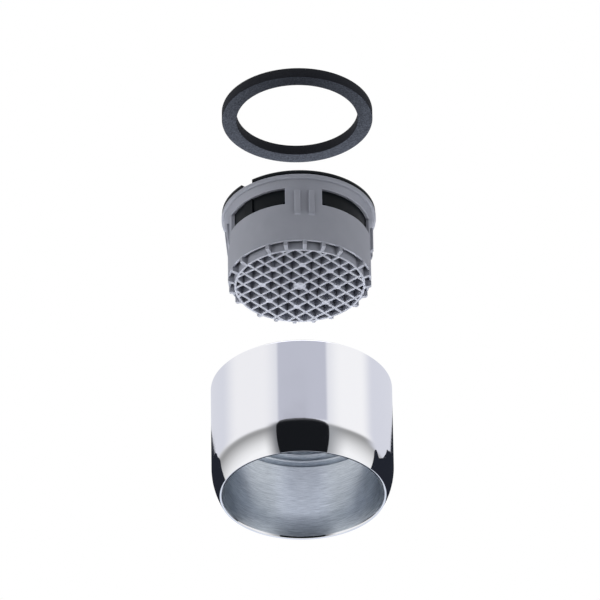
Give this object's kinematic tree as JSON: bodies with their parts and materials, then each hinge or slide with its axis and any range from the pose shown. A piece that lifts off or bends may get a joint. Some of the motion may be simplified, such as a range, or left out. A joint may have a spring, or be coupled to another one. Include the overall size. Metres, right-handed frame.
{
  "type": "tap aerator",
  "caption": "Tap aerator drawn apart on its axis: rubber washer, grey plastic aerating insert with a square lattice outlet, and chromed brass sleeve with an inside thread.",
  "frame": {"origin": "centre of the sleeve's outlet rim, on the common axis, at the lowest point of the drawn-apart set", "axes": "+Z along the common axis, up towards the spout"},
  "size_m": [0.024, 0.024, 0.0615],
  "materials": {
    "washer_rubber": "matt moulded rubber, finely speckled",
    "black_plastic": "satin moulded black plastic",
    "screen_plastic": "satin moulded dark grey plastic",
    "grey_plastic": "satin moulded cool grey plastic",
    "chromed_brass": "mirror chrome outside, turned bore inside"
  },
  "bodies": {
    "washer": {"sealing_washer": "washer_rubber"},
    "insert": {"filter_screen": "black_plastic", "jet_plate": "black_plastic", "mixing_screen_upper": "screen_plastic", "mixing_screen_lower": "screen_plastic", "insert_housing": "grey_plastic"},
    "sleeve": {"sleeve": "chromed_brass"}
  },
  "joints": [
    {"name": "insert_lift", "type": "slide", "parent": "washer", "child": "insert", "axis": [0, 0, 1], "range_m": [0, 0.01515]},
    {"name": "sleeve_lift", "type": "slide", "parent": "insert", "child": "sleeve", "axis": [0, 0, 1], "range_m": [0, 0.03285]}
  ]
}
